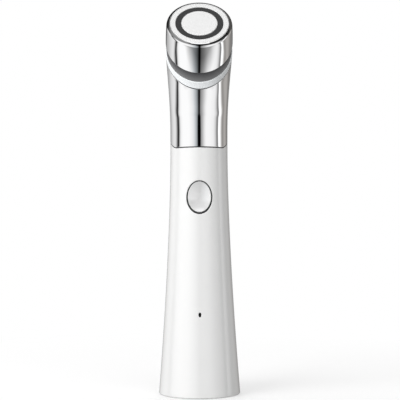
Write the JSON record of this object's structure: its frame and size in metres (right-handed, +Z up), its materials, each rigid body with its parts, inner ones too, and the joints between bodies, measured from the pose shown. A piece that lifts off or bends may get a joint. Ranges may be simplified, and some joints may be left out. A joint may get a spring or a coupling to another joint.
{
  "type": "electrostimulation facial device",
  "caption": "Upright face wand with a bent polished neck, a round head with two concentric electrodes, an oval push button and a flared grip that stands on its base.",
  "frame": {"origin": "centre of the resting face under the grip", "axes": "+Z up along the grip, -Y the front with the button, +X to the right seen from the front"},
  "size_m": [0.034, 0.0483, 0.1604],
  "materials": {
    "grip_plastic": "high gloss, moulded",
    "button_plastic": "high gloss, moulded",
    "seal_rubber": "smooth silicone",
    "dark_rubber": "satin",
    "foam": "closed-cell foam",
    "screw_steel": "zinc plated",
    "socket_steel": "satin",
    "board": "solder mask",
    "chip": "moulded",
    "ferrite": "sintered",
    "copper": "enamelled wire",
    "led": "clear resin",
    "switch_plastic": "moulded",
    "dark_window": "gloss, smoked",
    "frame_plastic": "moulded",
    "liner_plastic": "moulded",
    "cell_wrap": "shrink wrap",
    "tab_nickel": "nickel strip",
    "motor_steel": "drawn can",
    "motor_weight": "sintered tungsten",
    "polished_metal": "mirror polish",
    "light_diffuser": "translucent, satin",
    "satin_metal": "fine satin plating",
    "insulator": "satin",
    "pin_brass": "gold plated",
    "flat_cable": "polyimide film",
    "connector_plastic": "moulded"
  },
  "bodies": {
    "handle": {"handle_shell": "grip_plastic", "base_cap": "grip_plastic", "base_screws": "screw_steel", "usb_socket": "socket_steel", "indicator_lens": "dark_window", "button_gasket": "seal_rubber", "neck_sleeve": "polished_metal", "sleeve_gasket": "seal_rubber", "band_gasket": "seal_rubber", "light_ring": "light_diffuser", "groove_gasket": "dark_rubber", "head_shell": "polished_metal", "outer_electrode": "satin_metal", "insulator_ring": "insulator", "centre_electrode": "satin_metal", "base_seal": "seal_rubber", "charge_board": "board", "inner_chassis": "frame_plastic", "chassis_screws": "screw_steel", "main_board": "board", "board_chips": "chip", "coil_core": "ferrite", "coil_winding": "copper", "buzzer": "chip", "status_led": "led", "tact_switch": "switch_plastic", "battery_cell": "cell_wrap", "battery_pads": "foam", "battery_tabs": "tab_nickel", "motor_mount": "seal_rubber", "motor_can": "motor_steel", "neck_seal": "seal_rubber", "neck_liner": "liner_plastic", "electrode_carrier": "frame_plastic", "contact_pins": "pin_brass", "head_board": "board", "head_leds": "led", "head_screws": "screw_steel", "head_cable": "flat_cable", "cable_connectors": "connector_plastic"},
    "button": {"button_cap": "button_plastic", "switch_plunger": "switch_plastic"},
    "motor_rotor": {"motor_weight": "motor_weight"}
  },
  "joints": [
    {"name": "button_press", "type": "slide", "parent": "handle", "child": "button", "axis": [0, 1, 0], "range_m": [0, 0.00045], "stiffness_N_per_m": 3000},
    {"name": "motor_spin", "type": "hinge", "parent": "handle", "child": "motor_rotor", "pos_m": [0, 0.0025, 0.08], "axis": [0, 0, 1], "continuous": true}
  ]
}
